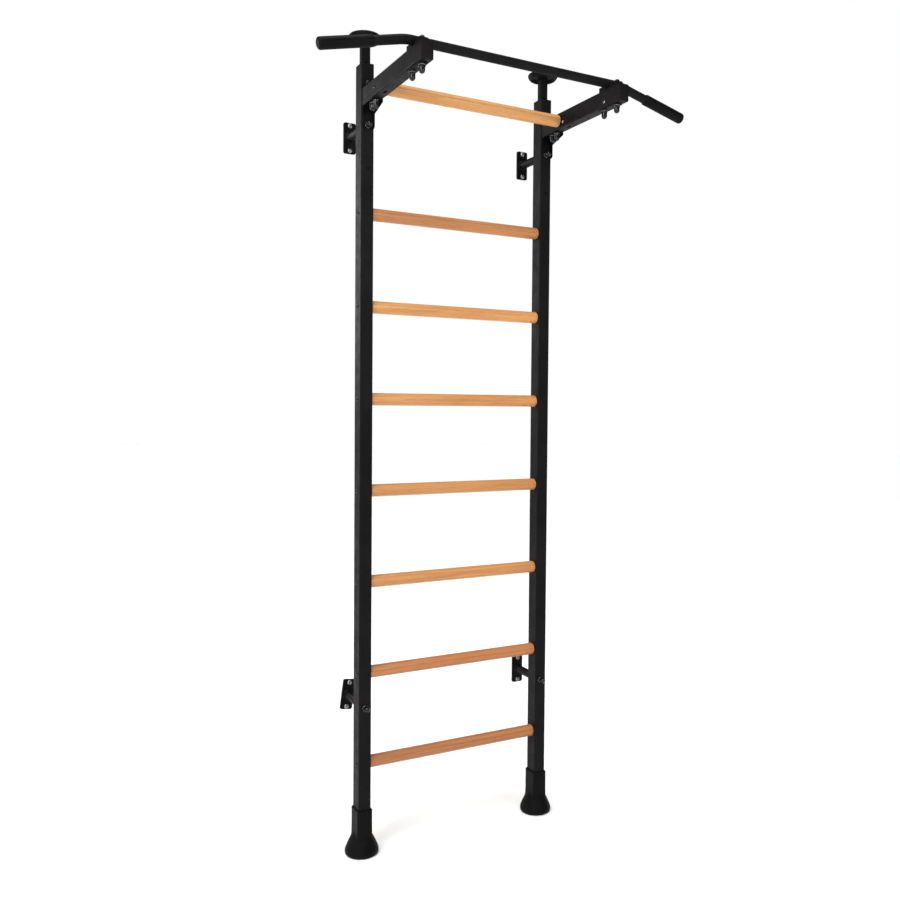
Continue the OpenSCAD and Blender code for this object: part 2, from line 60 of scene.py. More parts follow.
class Tree:
    """Short names for building a node tree."""

    def __init__(self, tree):
        self.tree = tree
        tree.nodes.clear()

    def add(self, kind, **settings):
        node = self.tree.nodes.new(kind)
        for key, value in settings.items():
            setattr(node, key, value)
        return node

    def link(self, a, b):
        self.tree.links.new(a, b)

    def coords(self, scale=(1, 1, 1), place=(0, 0, 0)):
        """Object coordinates, scaled and moved."""
        coord = self.add("ShaderNodeTexCoord")
        mapping = self.add("ShaderNodeMapping")
        self.link(coord.outputs["Object"], mapping.inputs["Vector"])
        mapping.inputs["Scale"].default_value = scale
        mapping.inputs["Location"].default_value = place
        return mapping.outputs[0]

    def noise(self, vector, scale, detail=3, rough=0.55):
        node = self.add("ShaderNodeTexNoise")
        self.link(vector, node.inputs["Vector"])
        node.inputs["Scale"].default_value = scale
        node.inputs["Detail"].default_value = detail
        node.inputs["Roughness"].default_value = rough
        return node.outputs["Fac"]

    def span(self, value, low, high, to_low=0.0, to_high=1.0):
        node = self.add("ShaderNodeMapRange", interpolation_type="SMOOTHSTEP")
        self.link(value, node.inputs["Value"])
        node.inputs["From Min"].default_value = low
        node.inputs["From Max"].default_value = high
        node.inputs["To Min"].default_value = to_low
        node.inputs["To Max"].default_value = to_high
        return node.outputs["Result"]

    def math(self, op, a, b=None):
        node = self.add("ShaderNodeMath", operation=op)
        for i, value in enumerate((a, b)):
            if value is None:
                continue
            if isinstance(value, (int, float)):
                node.inputs[i].default_value = value
            else:
                self.link(value, node.inputs[i])
        return node.outputs[0]

    def mix(self, fac, a, b):
        node = self.add("ShaderNodeMix", data_type="RGBA")
        if isinstance(fac, (int, float)):
            node.inputs[0].default_value = fac
        else:
            self.link(fac, node.inputs[0])
        for i, value in ((6, a), (7, b)):
            if isinstance(value, tuple):
                node.inputs[i].default_value = (*value, 1)
            else:
                self.link(value, node.inputs[i])
        return node.outputs[2]

    def bump(self, height, strength, distance, after=None):
        node = self.add("ShaderNodeBump")
        node.inputs["Strength"].default_value = strength
        node.inputs["Distance"].default_value = distance
        self.link(height, node.inputs["Height"])
        if after is not None:
            self.link(after, node.inputs["Normal"])
        return node.outputs[0]

    def edge(self, radius):
        """1 on sharp outer and inner edges, 0 on open faces."""
        bevel = self.add("ShaderNodeBevel", samples=6)
        bevel.inputs["Radius"].default_value = radius
        shape = self.add("ShaderNodeNewGeometry")
        dot = self.add("ShaderNodeVectorMath", operation="DOT_PRODUCT")
        self.link(bevel.outputs[0], dot.inputs[0])
        self.link(shape.outputs["Normal"], dot.inputs[1])
        return self.span(dot.outputs["Value"], 0.995, 0.86)

    def finish(self, color, rough, normal=None, metal=0.0, **fixed):
        shader = self.add("ShaderNodeBsdfPrincipled")
        self.link(color, shader.inputs["Base Color"])
        self.link(rough, shader.inputs["Roughness"])
        shader.inputs["Metallic"].default_value = metal
        if normal is not None:
            self.link(normal, shader.inputs["Normal"])
        for key, value in fixed.items():
            shader.inputs[key.replace("_", " ")].default_value = value
        out = self.add("ShaderNodeOutputMaterial")
        self.link(shader.outputs[0], out.inputs["Surface"])


def material(name):
    """A new material and its empty node tree."""
    mat = bpy.data.materials.new(name)
    mat.use_nodes = True
    return mat, Tree(mat.node_tree)


def powder_coat(name, dark, light, worn, base_rough):
    """Black powder coat: orange peel, faint cloudiness, thin coat on the edges, a few rubbed spots."""
    mat, t = material(name)
    at = t.coords()
    cloud = t.span(t.noise(at, 9, 4), 0.3, 0.72)
    grain = t.noise(at, 1400, 2, 0.7)
    peel = t.noise(at, 420, 2)
    color = t.mix(cloud, dark, light)
    color = t.mix(t.span(grain, 0.50, 0.80, 0, 0.16), color, worn)
    rub = t.span(t.noise(at, 60, 6, 0.7), 0.62, 0.8, 0, 0.5)
    wear = t.math("MULTIPLY", t.edge(0.0011), t.span(t.noise(at, 140, 5), 0.35, 0.7, 0.25, 1.0))
    color = t.mix(t.math("MAXIMUM", wear, t.math("MULTIPLY", rub, 0.35)), color, worn)
    rough = t.math("ADD", t.span(t.noise(at, 35, 4), 0.3, 0.7, base_rough - 0.05, base_rough + 0.06),
                   t.math("MULTIPLY", rub, 0.12))
    normal = t.bump(peel, 0.22, 0.00025)
    normal = t.bump(grain, 0.16, 0.00008, normal)
    t.finish(color, rough, normal, Specular_IOR_Level=0.075)
    return mat


def moulded(name, dark, light, scuff, base_rough, grain_scale, grain_depth):
    """Moulded rubber or plastic: fine spark-eroded grain, cloudy bloom, scuffs."""
    mat, t = material(name)
    at = t.coords()
    grain = t.noise(at, grain_scale, 2, 0.8)
    bloom = t.span(t.noise(at, 22, 5, 0.62), 0.35, 0.75)
    scratch = t.span(t.noise(t.coords((30, 30, 420)), 2.2, 5, 0.7), 0.64, 0.78, 0, 0.6)
    color = t.mix(bloom, dark, light)
    color = t.mix(t.math("MAXIMUM", scratch, t.math("MULTIPLY", t.edge(0.0012), 0.55)), color, scuff)
    rough = t.math("ADD", t.span(bloom, 0, 1, base_rough - 0.07, base_rough + 0.05),
                   t.math("MULTIPLY", scratch, 0.1))
    t.finish(color, rough, t.bump(grain, 0.35, grain_depth), Specular_IOR_Level=0.07)
    return mat


def metal(name, dark, light, base_rough, shine=1.0, worn=None, level=0.5):
    """Plated or blackened steel: drawn lines, mottled plating, brighter edges."""
    mat, t = material(name)
    at = t.coords()
    mottle = t.span(t.noise(at, 260, 4, 0.65), 0.3, 0.72)
    lines = t.noise(t.coords((900, 900, 120)), 1.6, 3, 0.6)
    color = t.mix(mottle, dark, light)
    color = t.mix(t.math("MULTIPLY", t.edge(0.0007), 0.7), color, worn or light)
    rough = t.math("ADD", t.span(mottle, 0, 1, base_rough - 0.06, base_rough + 0.07),
                   t.math("MULTIPLY", lines, 0.06))
    t.finish(color, rough, t.bump(lines, 0.12, 0.00006), metal=shine, Specular_IOR_Level=level)
    return mat


def beech(k, tone_level=1.0, coolness=1.0):
    """Steamed beech under clear lacquer, grain along X.

    Each rung k is cut from another part of the board, and has its own lightness and hue.
    """
    mat, t = material(f"beech_{k}")

    def shade(r, g, b):
        return (r * tone_level, g * tone_level * coolness, b * tone_level * coolness)

    board, board_light = shade(0.620, 0.262, 0.070), shade(0.740, 0.345, 0.104)
    fibre_light, fibre_dark = shade(0.820, 0.430, 0.155), shade(0.420, 0.146, 0.035)
    late_wood, pore_dark = shade(0.480, 0.174, 0.041), shade(0.250, 0.082, 0.024)
    # colour of the painted shade on the rung's end rims, beside the uprights
    end_shade = shade(0.370, 0.145, 0.050)
    ring_width = 0.0042
    shift = (0.37 * k, 0.051 * math.sin(2.1 * k), 0.043 * math.cos(1.7 * k))
    at = t.coords(place=shift)
    # growth rings round a wavy pith
    warp = t.add("ShaderNodeTexNoise", noise_dimensions="3D")
    t.link(t.coords((2.2, 14, 14), shift), warp.inputs["Vector"])
    warp.inputs["Scale"].default_value = 1.0
    warp.inputs["Detail"].default_value = 3
    bend = t.add("ShaderNodeVectorMath", operation="MULTIPLY_ADD")
    t.link(warp.outputs["Color"], bend.inputs[0])
    bend.inputs[1].default_value = (0, 0.011, 0.011)
    t.link(at, bend.inputs[2])
    flat = t.add("ShaderNodeVectorMath", operation="MULTIPLY")
    t.link(bend.outputs[0], flat.inputs[0])
    flat.inputs[1].default_value = (0.0, 1.0, 1.0)
    pith = t.add("ShaderNodeVectorMath", operation="DISTANCE")
    t.link(flat.outputs[0], pith.inputs[0])
    pith.inputs[1].default_value = (0, 0.06 + 0.012 * (k % 3), -0.045 + 0.02 * (k % 4))
    ring = t.math("SINE", t.math("MULTIPLY", pith.outputs["Value"], 2 * math.pi / ring_width))
    ring = t.span(ring, -0.6, 1.0)
    # fibres, pores and slow changes of tone along the board, then painted shade on the rims of the ends
    fibre = t.noise(t.coords((16, 620, 620), shift), 1.0, 4, 0.65)
    pore = t.noise(t.coords((210, 1500, 1500), shift), 1.0, 2, 0.5)
    tone = t.noise(t.coords((3, 20, 20), shift), 1.0, 3)
    fleck = t.span(pore, 0.62, 0.72)
    color = t.mix(t.span(tone, 0.3, 0.7), board, board_light)
    color = t.mix(t.math("MULTIPLY", ring, 0.42), color, late_wood)
    color = t.mix(t.span(fibre, 0.46, 0.80, 0, 0.42), color, fibre_light)
    color = t.mix(t.span(fibre, 0.50, 0.24, 0, 0.46), color, fibre_dark)
    color = t.mix(t.math("MULTIPLY", fleck, 0.66), color, pore_dark)
    # painted shade: the eased rims at the rung's ends, where it meets the uprights, are darkened
    color = t.mix(t.math("MULTIPLY", t.edge(0.0016), 0.35), color, end_shade)
    rough = t.math("ADD", t.span(fibre, 0.3, 0.7, 0.40, 0.50), t.math("MULTIPLY", fleck, 0.12))
    normal = t.bump(fibre, 0.25, 0.00012)
    normal = t.bump(t.math("SUBTRACT", 1.0, fleck), 0.25, 0.00008, normal)
    t.finish(color, rough, normal, Coat_Weight=0.22, Coat_Roughness=0.28)
    return mat


def pale_floor():
    """Plain matt floor, very slightly uneven in tone."""
    mat, t = material("pale_floor")
    at = t.coords()
    color = t.mix(t.span(t.noise(at, 1.5, 4), 0.3, 0.7), (0.920, 0.920, 0.917), (0.935, 0.935, 0.932))
    t.finish(color, t.span(t.noise(at, 40, 3), 0.3, 0.7, 0.72, 0.82))
    return mat


STEEL = powder_coat("powder_black", (0.0050, 0.0043, 0.0048), (0.0080, 0.0070, 0.0077),
                    (0.034, 0.031, 0.033), 0.50)
BRACKET = powder_coat("powder_black_bracket", (0.0026, 0.0025, 0.0028), (0.0046, 0.0044, 0.0048),
                      (0.022, 0.021, 0.022), 0.47)
RUBBER = moulded("black_rubber", (0.0030, 0.0029, 0.0031), (0.0052, 0.0050, 0.0054),
                 (0.018, 0.017, 0.018), 0.56, 1700, 0.00008)
PLASTIC = moulded("black_plastic", (0.0028, 0.0027, 0.0029), (0.0050, 0.0049, 0.0052),
                  (0.020, 0.019, 0.020), 0.45, 1300, 0.00006)
ZINC = metal("zinc_plate", (0.24, 0.24, 0.25), (0.40, 0.40, 0.41), 0.34)
BLACKENED = metal("black_oxide", (0.0020, 0.0020, 0.0022), (0.0042, 0.0041, 0.0044), 0.15, 0.0,
                  (0.009, 0.009, 0.0095), 0.40)
FLOOR = pale_floor()
DEFAULT = {"black_steel": STEEL, "black_rubber": RUBBER, "black_plastic": PLASTIC,
           "zinc_steel": ZINC, "black_fasteners": BLACKENED, "beech": beech(0)}


# ---- camera and light ----


def make_camera():
    """The camera stands left of the ladder, a little above its middle, and looks to the right."""
    cam = bpy.data.objects.new("camera", bpy.data.cameras.new("camera"))
    bpy.context.scene.collection.objects.link(cam)
    cam.data.sensor_width = 36
    cam.data.lens = 36.154
    cam.data.shift_x = -0.0485
    cam.data.shift_y = -0.0165
    place, down, heading, lean = (-1.3065, -2.7339, 1.3827), 1.852, -29.088, 0.505
    turn = Euler((math.radians(90 - down), 0, math.radians(heading))).to_matrix().to_4x4()
    roll = Matrix.Rotation(math.radians(lean), 4, "Z")
    cam.matrix_world = Matrix.Translation(place) @ turn @ roll
    bpy.context.scene.camera = cam


def lamp(kind, name, place, target, size, power, color=(1, 1, 1)):
    """A round soft box, or a sun whose size is its angle in degrees."""
    light = bpy.data.lights.new(name, kind)
    if kind == "SUN":
        light.angle = math.radians(size)
    else:
        light.shape = "DISK"
        light.size = size
    light.energy = power
    light.color = color
    obj = bpy.data.objects.new(name, light)
    bpy.context.scene.collection.objects.link(obj)
    obj.location = place
    obj.rotation_euler = (Vector(target) - Vector(place)).to_track_quat("-Z", "Y").to_euler()
    obj.visible_camera = False


def make_world():
    """Pale sky that lights from the upper left and is plain where it shows as the backdrop."""
    bright_side = Vector((-0.86, -0.16, 0.48)).normalized()
    dim, bright, backdrop = 0.10, 0.60, 1.0
    world = bpy.data.worlds.new("studio")
    bpy.context.scene.world = world
    world.use_nodes = True
    t = Tree(world.node_tree)
    coord = t.add("ShaderNodeTexCoord")
    facing = t.add("ShaderNodeVectorMath", operation="DOT_PRODUCT")
    t.link(coord.outputs["Generated"], facing.inputs[0])
    facing.inputs[1].default_value = bright_side
    soft = t.add("ShaderNodeMapRange", interpolation_type="SMOOTHSTEP")
    t.link(facing.outputs["Value"], soft.inputs["Value"])
    soft.inputs["From Min"].default_value = 0.25
    soft.inputs["From Max"].default_value = 0.95
    soft.inputs["To Min"].default_value = dim
    soft.inputs["To Max"].default_value = bright
    seen = t.add("ShaderNodeLightPath")
    level = t.add("ShaderNodeMix")
    t.link(seen.outputs["Is Camera Ray"], level.inputs[0])
    t.link(soft.outputs["Result"], level.inputs[2])
    level.inputs[3].default_value = backdrop
    back = t.add("ShaderNodeBackground")
    back.inputs["Color"].default_value = (1, 1, 1, 1)
    t.link(level.outputs[0], back.inputs["Strength"])
    out = t.add("ShaderNodeOutputWorld")
    t.link(back.outputs[0], out.inputs["Surface"])


make_camera()
make_world()
lamp("SUN", "overhead", (-0.5, -0.5, 4), (0, 0, 0), 50, 2.9)
lamp("AREA", "key", (-3.2, -2.2, 3.4), (0, -0.2, 1.9), 1.8, 64, (1.0, 0.985, 0.965))
lamp("AREA", "rim", (-1.6, 3.0, 2.4), (-0.1, -0.1, 1.8), 2.0, 34)
lamp("AREA", "front", (0.62, -2.75, 2.4), (-0.3, -0.16, 1.9), 0.9, 16)
lamp("AREA", "spark", (-1.9, -3.1, 2.0), (0, -0.5, 2.2), 0.3, 10)


# ---- mesh tools; lengths are in millimetres ----


def toward(place, axis, turn=0.0):
    """A frame at place (mm) whose +Z points along axis."""
    quat = Vector(axis).to_track_quat("Z", "Y")
    return Matrix.Translation(place) @ quat.to_matrix().to_4x4() @ Matrix.Rotation(turn, 4, "Z")


def loft(bm, rings, at=Matrix(), loop=False):
    """Joins rings of points. A ring of one point is a pole. loop joins the last ring to the first."""
    made = [[bm.verts.new(at @ Vector(p)) for p in ring] for ring in rings]
    pairs = list(zip(made, made[1:]))
    if loop:
        pairs.append((made[-1], made[0]))
    for a, b in pairs:
        n = max(len(a), len(b))
        for i in range(n):
            j = (i + 1) % n
            if len(a) == 1:
                bm.faces.new((a[0], b[j], b[i]))
            elif len(b) == 1:
                bm.faces.new((a[i], a[j], b[0]))
            else:
                bm.faces.new((a[i], a[j], b[j], b[i]))
    if not loop:
        for ring in (made[0], made[-1]):
            if len(ring) > 1:
                bm.faces.new(ring)


def circle(r, z=0.0, n=64):
    """Ring of radius r, which may be a function of the angle."""
    pts = []
    for i in range(n):
        a = 2 * math.pi * i / n
        d = r(a) if callable(r) else r
        pts.append((d * math.cos(a), d * math.sin(a), z))
    return pts


def lathe(bm, profile, at=Matrix(), n=64, loop=False):
    """Revolves (radius, height) pairs. A radius of 0 makes a pole."""
    rings = [[(0, 0, z)] if not callable(r) and r <= 0 else circle(r, z, n) for r, z in profile]
    loft(bm, rings, at, loop)


def arc(cx, cz, r, a0, a1, n=6):
    """Points of an arc in a profile, angles in degrees."""
    steps = [math.radians(a0 + (a1 - a0) * i / n) for i in range(n + 1)]
    return [(cx + r * math.cos(a), cz + r * math.sin(a)) for a in steps]


def rrect(w, d, r, z=0.0, n=5):
    """Ring of a rounded rectangle."""
    pts = []
    for cx, cy, a0 in ((1, 1, 0), (-1, 1, 90), (-1, -1, 180), (1, -1, 270)):
        for x, y in arc(cx * (w / 2 - r), cy * (d / 2 - r), r, a0, a0 + 90, n):
            pts.append((x, y, z))
    return pts


def onto_circle(ring, r, z):
    """The ring's points moved straight in or out to a circle."""
    return [(r * x / math.hypot(x, y), r * y / math.hypot(x, y), z) for x, y, _ in ring]


def rect_radius(w, d, r):
    """Radius of a rounded rectangle as a function of the angle."""
    def f(a):
        c, s = abs(math.cos(a)), abs(math.sin(a))
        far = min(w / 2 / max(c, 1e-9), d / 2 / max(s, 1e-9))
        x, y = far * c, far * s
        if x > w / 2 - r and y > d / 2 - r:
            px, py = w / 2 - r, d / 2 - r
            along = px * c + py * s
            far = along + math.sqrt(max(0.0, along * along - px * px - py * py + r * r))
        return far
    return f


def hexagon(across_flats):
    """Radius of a hexagon as a function of the angle."""
    def f(a):
        return across_flats / 2 / math.cos((a + math.pi / 6) % (math.pi / 3) - math.pi / 6)
    return f


def cross(length, width):
    """Radius of a cross recess as a function of the angle."""
    def f(a):
        c, s = max(abs(math.cos(a)), 1e-9), max(abs(math.sin(a)), 1e-9)
        return max(min(length / 2 / c, width / 2 / s), min(width / 2 / c, length / 2 / s))
    return f


def blend(f, g, share):
    """Between two radii, each a number or a function of the angle; share is how much of g."""
    def h(a):
        one = f(a) if callable(f) else f
        two = g(a) if callable(g) else g
        return one * (1 - share) + two * share
    return h


def merged(f, level, soft):
    """The larger of a radius function and a plain radius, rounded off where they cross."""
    def h(a):
        return (f(a) + level + math.hypot(f(a) - level, soft)) / 2
    return h


def extrude(bm, outline, low, high, at=Matrix()):
    """Prism over an outline of (x, y) points, from z low to z high."""
    loft(bm, [[(x, y, low) for x, y in outline], [(x, y, high) for x, y in outline]], at)


def tube(bm, w, d, r, wall, low, high, at=Matrix(), lip=0.5):
    """Rectangular tube with rounded corners and softened ends."""
    inner = max(r - wall, 0.8)
    rings = [rrect(w, d, r, low + lip), rrect(w, d, r, high - lip),
             rrect(w - 2 * lip, d - 2 * lip, r - lip, high),
             rrect(w - 2 * wall, d - 2 * wall, inner, high),
             rrect(w - 2 * wall, d - 2 * wall, inner, low),
             rrect(w - 2 * lip, d - 2 * lip, r - lip, low)]
    loft(bm, rings, at, loop=True)


def piece(name, mat, bm, node=None, sharp=35):
    """Turns a mesh in millimetres into an object in metres that stands for a CAD node."""
    bmesh.ops.recalc_face_normals(bm, faces=bm.faces)
    bmesh.ops.scale(bm, vec=(MM, MM, MM), verts=bm.verts)
    mesh = bpy.data.meshes.new(name)
    bm.to_mesh(mesh)
    bm.free()
    obj = bpy.data.objects.new(name, mesh)
    bpy.context.scene.collection.objects.link(obj)
    smooth(obj, sharp)
    if mat is not None:
        mesh.materials.append(mat)
    if node is not None:
        attach(obj, node)
    return obj


def smooth(obj, sharp=35):
    """Smooth shading, apart from edges sharper than an angle in degrees."""
    obj.data.shade_smooth()
    obj.data.set_sharp_from_angle(angle=math.radians(sharp))


def shade_flats(obj):
    """Keeps the shading of large flat faces flat beside rounded corners and cut holes."""
    smooth(obj, 50)
    obj.modifiers.new("flat", "WEIGHTED_NORMAL").keep_sharp = True


def attach(obj, node):
    """Ties an object to the body of the CAD node that it stands for, and hides that node."""
    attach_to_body(obj, BODY[node])
    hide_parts(node)


def settle(obj):
    """Applies an object's modifiers."""
    graph = bpy.context.evaluated_depsgraph_get()
    mesh = bpy.data.meshes.new_from_object(obj.evaluated_get(graph))
    old = obj.data
    obj.modifiers.clear()
    obj.data = mesh
    bpy.data.meshes.remove(old)


def combine(obj, others, how="DIFFERENCE"):
    """Cuts other objects from obj, or joins them to it, and removes them."""
    for i, other in enumerate(others):
        mod = obj.modifiers.new(f"combine_{i}", "BOOLEAN")
        mod.object = other
        mod.operation = how
        mod.solver = "EXACT"
    settle(obj)
    for other in others:
        bpy.data.objects.remove(other)


def soften(obj, width, segments=3, angle=40):
    """Rounds sharp edges; width in millimetres."""
    mod = obj.modifiers.new("edges", "BEVEL")
    mod.width = width * MM
    mod.segments = segments
    mod.limit_method = "ANGLE"
    mod.angle_limit = math.radians(angle)
    mod.use_clamp_overlap = True
    settle(obj)
    shade_flats(obj)


def cutter(build):
    """A helper object for combine(), from a function that fills its mesh."""
    bm = bmesh.new()
    build(bm)
    return piece("cutter", None, bm)


def rod_cut(place, axis, d, length, n=40):
    """A round cutter centred on place."""
    return cutter(lambda bm: lathe(bm, [(d / 2, -length / 2), (d / 2, length / 2)],
                                   toward(place, axis), n))


def block(w, length, r, low, high, at, n=8):
    """A block with rounded corners, to cut with or to join on, from z low to z high."""
    return cutter(lambda bm: loft(bm, [rrect(w, length, r, low, n), rrect(w, length, r, high, n)], at))


def mm_box(node):
    """A CAD node's lowest and highest corner in millimetres."""
    lo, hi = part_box(node)
    return Vector(lo) / MM, Vector(hi) / MM


# ---- fasteners ----


def button_head(bm, at, d, h, socket, depth, n=48):
    """Domed screw head; socket is the recess's radius by angle, at is on the seat with +Z outward."""
    r = d / 2
    rings = [(0, 0), (r - 0.3, 0), (r, 0.35)]
    rings += [(r * math.cos(t), 0.35 + (h - 0.35) * math.sin(t)) for t in
              (math.radians(v) for v in (20, 38, 54, 66))]
    rings += [(blend(r * 0.40, socket, 0.35), h), (blend(socket, r * 0.1, 0.02), h - 0.1),
              (blend(socket, 0.0, 0.06), h - depth), (0, h - depth - 0.5)]
    lathe(bm, rings, at, n)


def shank(bm, at, d, low, high, n=28):
    """A screw's plain shank with a chamfered tip at z low."""
    lathe(bm, [(0, low), (d / 2 - 0.6, low), (d / 2, low + 0.8), (d / 2, high), (0, high)], at, n)


def acorn(bm, at, n=48):
    """Domed nut: chamfered hexagon, which runs out into a tall smooth dome."""
    hexa = hexagon(NUT_AF)
    r = NUT_AF / 2
    rings = [(0, 0), (r - 0.4, 0), (blend(hexa, r, 0.55), 0.25), (hexa, 1.1), (hexa, 4.4),
             (blend(hexa, r, 0.5), 5.2), (r - 0.1, 5.9), (r - 0.1, 7), (r - 0.1, 10)]
    rings += [((r - 0.1) * math.cos(math.radians(a)), NUT_H - r + r * math.sin(math.radians(a)))
              for a in (0, 12, 24, 36, 48, 60, 70, 80)]
    rings.append((0, NUT_H))
    lathe(bm, rings, at, n)


def washer(bm, at, d, hole, t, n=48):
    """Flat washer with softened rims."""
    r, q = d / 2, hole / 2
    lathe(bm, [(q, 0), (r - 0.25, 0), (r, 0.25), (r, t - 0.3), (r - 0.35, t), (q, t)], at, n, loop=True)


# ---- sizes in millimetres: read from the CAD boxes, then repeated from the design ----

up_lo, up_hi = mm_box("right_upright")
POST_X = (up_lo.x + up_hi.x) / 2
POST_Y = (up_lo.y + up_hi.y) / 2
POST_W, POST_D = up_hi.x - up_lo.x, up_hi.y - up_lo.y
FRONT, BACK, TOP = up_lo.y, up_hi.y, up_hi.z
arm_lo, arm_hi = mm_box("right_arm")
ARM_W, ARM_H = arm_hi.x - arm_lo.x, arm_hi.z - arm_lo.z
ARM_Z = (arm_hi.z + arm_lo.z) / 2
bar_lo, bar_hi = mm_box("pull_up_bar")
BAR_Y, BAR_D = (bar_lo.y + bar_hi.y) / 2, bar_hi.y - bar_lo.y
BAR_Z = bar_hi.z - BAR_D / 2
UPPER_Z = sum(v.z for v in mm_box("upper_right_bracket")) / 2
LOWER_Z = sum(v.z for v in mm_box("lower_right_bracket")) / 2
TUBE_T = 2
POST_R = 3.2
M8, M8_HOLE = 8, 8.6
WASHER_D, WASHER_T = 18, 2
NUT_AF, NUT_H = 17, 22
ARM_SLOT = 137
GUSSET_T = 3
# the gusset's bolts, forward of the uprights, and its slot, above the nut on the upright
GUSSET_REACH = (40, 66)
SLOT_RISE = 28
# the arm's inner screws: forward of the uprights, below the arm's middle
SIDE_SCREWS = ((126, 9), (349, 10))
BAR_ANGLE, BAR_BEND_R, BAR_BEND_X = 14, 150, 348
GRIP_D, GRIP_LEN, GRIP_END_T = 32, 150, 5
SADDLE_PITCH = 62
BACKING_T = 3
PROP_W, PROP_D = 28, 20
PIN_D, PIN_PITCH = 6, 65
PAD_ROOF = 10
LOCK_Z = 2344
PLUG_Z = 2090
PLATE_W, PLATE_H, PLATE_DEPTH, PLATE_T = 40, 96, 8, 3
WALL_SCREW_PITCH = 76
# a plate's own turn about its stem, in degrees
LEFT_TURN = 7.5
# profiles drawn in (forward, up), and in (along Y, up), extruded along X
FORWARD_UP = Matrix(((0, 0, 1, 0), (-1, 0, 0, 0), (0, 1, 0, 0), (0, 0, 0, 1)))
BACK_UP = Matrix(((0, 0, 1, 0), (1, 0, 0, 0), (0, 1, 0, 0), (0, 0, 0, 1)))
# how light the wood of each rung is, from the lowest up
RUNG_TONES = (0.58, 0.66, 0.81, 0.80, 0.85, 0.92, 0.68, 0.86)
# how much of the green and blue it keeps: less is a redder board
RUNG_COOLNESS = (0.84, 0.82, 0.97, 0.97, 0.97, 1.0, 0.88, 1.04)
RUNGS = range(1, len(RUNG_TONES) + 1)


def make_upright(side, s):
    """Rectangular tube with holes in front for the plug, the lock screw and the arm's bolt."""
    bm = bmesh.new()
    at = Matrix.Translation((s * POST_X, POST_Y, 0))
    tube(bm, POST_W, POST_D, POST_R, TUBE_T, up_lo.z, TOP, at)
    obj = piece(f"{side}_upright_tube", STEEL, bm)
    cuts = [rod_cut((s * POST_X, FRONT, z), (0, 1, 0), M8_HOLE, 12) for z in (PLUG_Z, LOCK_Z, ARM_Z)]
    combine(obj, cuts)
    shade_flats(obj)
    attach(obj, f"{side}_upright")


def make_foot(side, s):
    """Rubber boot: a round sole that flares up into a rectangular sleeve."""
    lo, hi = mm_box(f"{side}_foot")
    r = (hi.x - lo.x) / 2
    height = hi.z
    sleeve_t, seat = 4.5, 0.15
    sleeve = rect_radius(POST_W + 2 * sleeve_t, POST_D + 2 * sleeve_t, 6)
    post = rect_radius(POST_W + 2 * seat, POST_D + 2 * seat, POST_R)
    # sole: a shallow recess in the middle and two grooves
    groove = 1.0
    rings = [(0, groove), (r * 0.22, groove), (r * 0.24, 0)]
    for share in (0.44, 0.68):
        rings += [(r * share, 0), (r * (share + 0.02), groove), (r * (share + 0.06), groove),
                  (r * (share + 0.08), 0)]
    # rim
    toe = 7.2
    rings += [(r - toe - 0.3, 0)] + arc(r - toe, toe, toe, -75, -8, 8)
    rings += [(r, 9), (r, 12), (r - 0.4, 14.5), (r - 1.1, 17), (r - 2.1, 19.5)]
    # flare: a cone that runs out in the sleeve
    low, high, throat, steps = 21.5, 72, 14, 20
    for i in range(steps + 1):
        u = i / steps
        cone = throat + (r - 3.2 - throat) * (1 - u) ** 0.6
        rings.append((merged(sleeve, cone, 4), low + (high - low) * u))
    rings += [(sleeve, 78), (sleeve, 100), (sleeve, height - 2.2)]
    # lip, then the socket that the upright stands in
    rings += [(blend(sleeve, post, 0.06), height - 0.9), (blend(sleeve, post, 0.25), height - 0.15),
              (blend(sleeve, post, 0.45), height), (blend(sleeve, post, 0.8), height - 0.2),
              (post, height - 1.2), (post, up_lo.z), (0, up_lo.z)]
    bm = bmesh.new()
    lathe(bm, rings, Matrix.Translation((s * POST_X, POST_Y, 0)), 128)
    piece(f"{side}_foot_boot", RUBBER, bm, f"{side}_foot", sharp=42)


def make_guide(side, s):
    """Plastic bush in the top of an upright: a thin flange with a softened edge and a skirt."""
    lo, hi = mm_box(f"{side}_top_guide")
    bm = bmesh.new()
    at = Matrix.Translation((s * POST_X, POST_Y, 0))

    def inset(v, r, z):
        return rrect(POST_W - v, POST_D - v, r, z)

    hole = (PROP_W + 0.6, PROP_D + 0.6, 2.2)
    rings = [rrect(*hole, lo.z), rrect(*hole, hi.z - 0.7), rrect(PROP_W + 2, PROP_D + 2, 2.9, hi.z),
             inset(1.6, 2.6, hi.z), inset(0.1, 3.1, hi.z - 0.8), inset(0.1, 3.1, TOP + 0.05),
             inset(4.2, 2.0, TOP + 0.05), inset(4.4, 2.0, lo.z)]
    loft(bm, rings, at, loop=True)
    piece(f"{side}_guide_bush", PLASTIC, bm, f"{side}_top_guide")


def make_rung(k):
    """Dowel with eased ends. Its origin is its middle, so that the grain follows it."""
    node = f"rung_{k}"
    lo, hi = mm_box(node)
    length, r = hi.x - lo.x, (hi.z - lo.z) / 2
    half, ease, core, count = length / 2, 2.6, 6, 22
    rings = [(0, -half), (core, -half), (r - ease, -half)]
    rings += arc(r - ease, -half + ease, ease, -72, 0, 5)
    rings += [(r, -half + ease + (length - 2 * ease) * i / count) for i in range(1, count)]
    rings += arc(r - ease, half - ease, ease, 0, 72, 5)
    rings += [(r - ease, half), (core, half), (0, half)]
    bm = bmesh.new()
    lathe(bm, rings, toward((0, 0, 0), (1, 0, 0), 0.7 * k), 96)
    obj = piece(f"{node}_dowel", beech(k, RUNG_TONES[k - 1], RUNG_COOLNESS[k - 1]), bm)
    obj.location = (lo + hi) / 2 * MM
    bpy.context.view_layer.update()
    attach(obj, node)


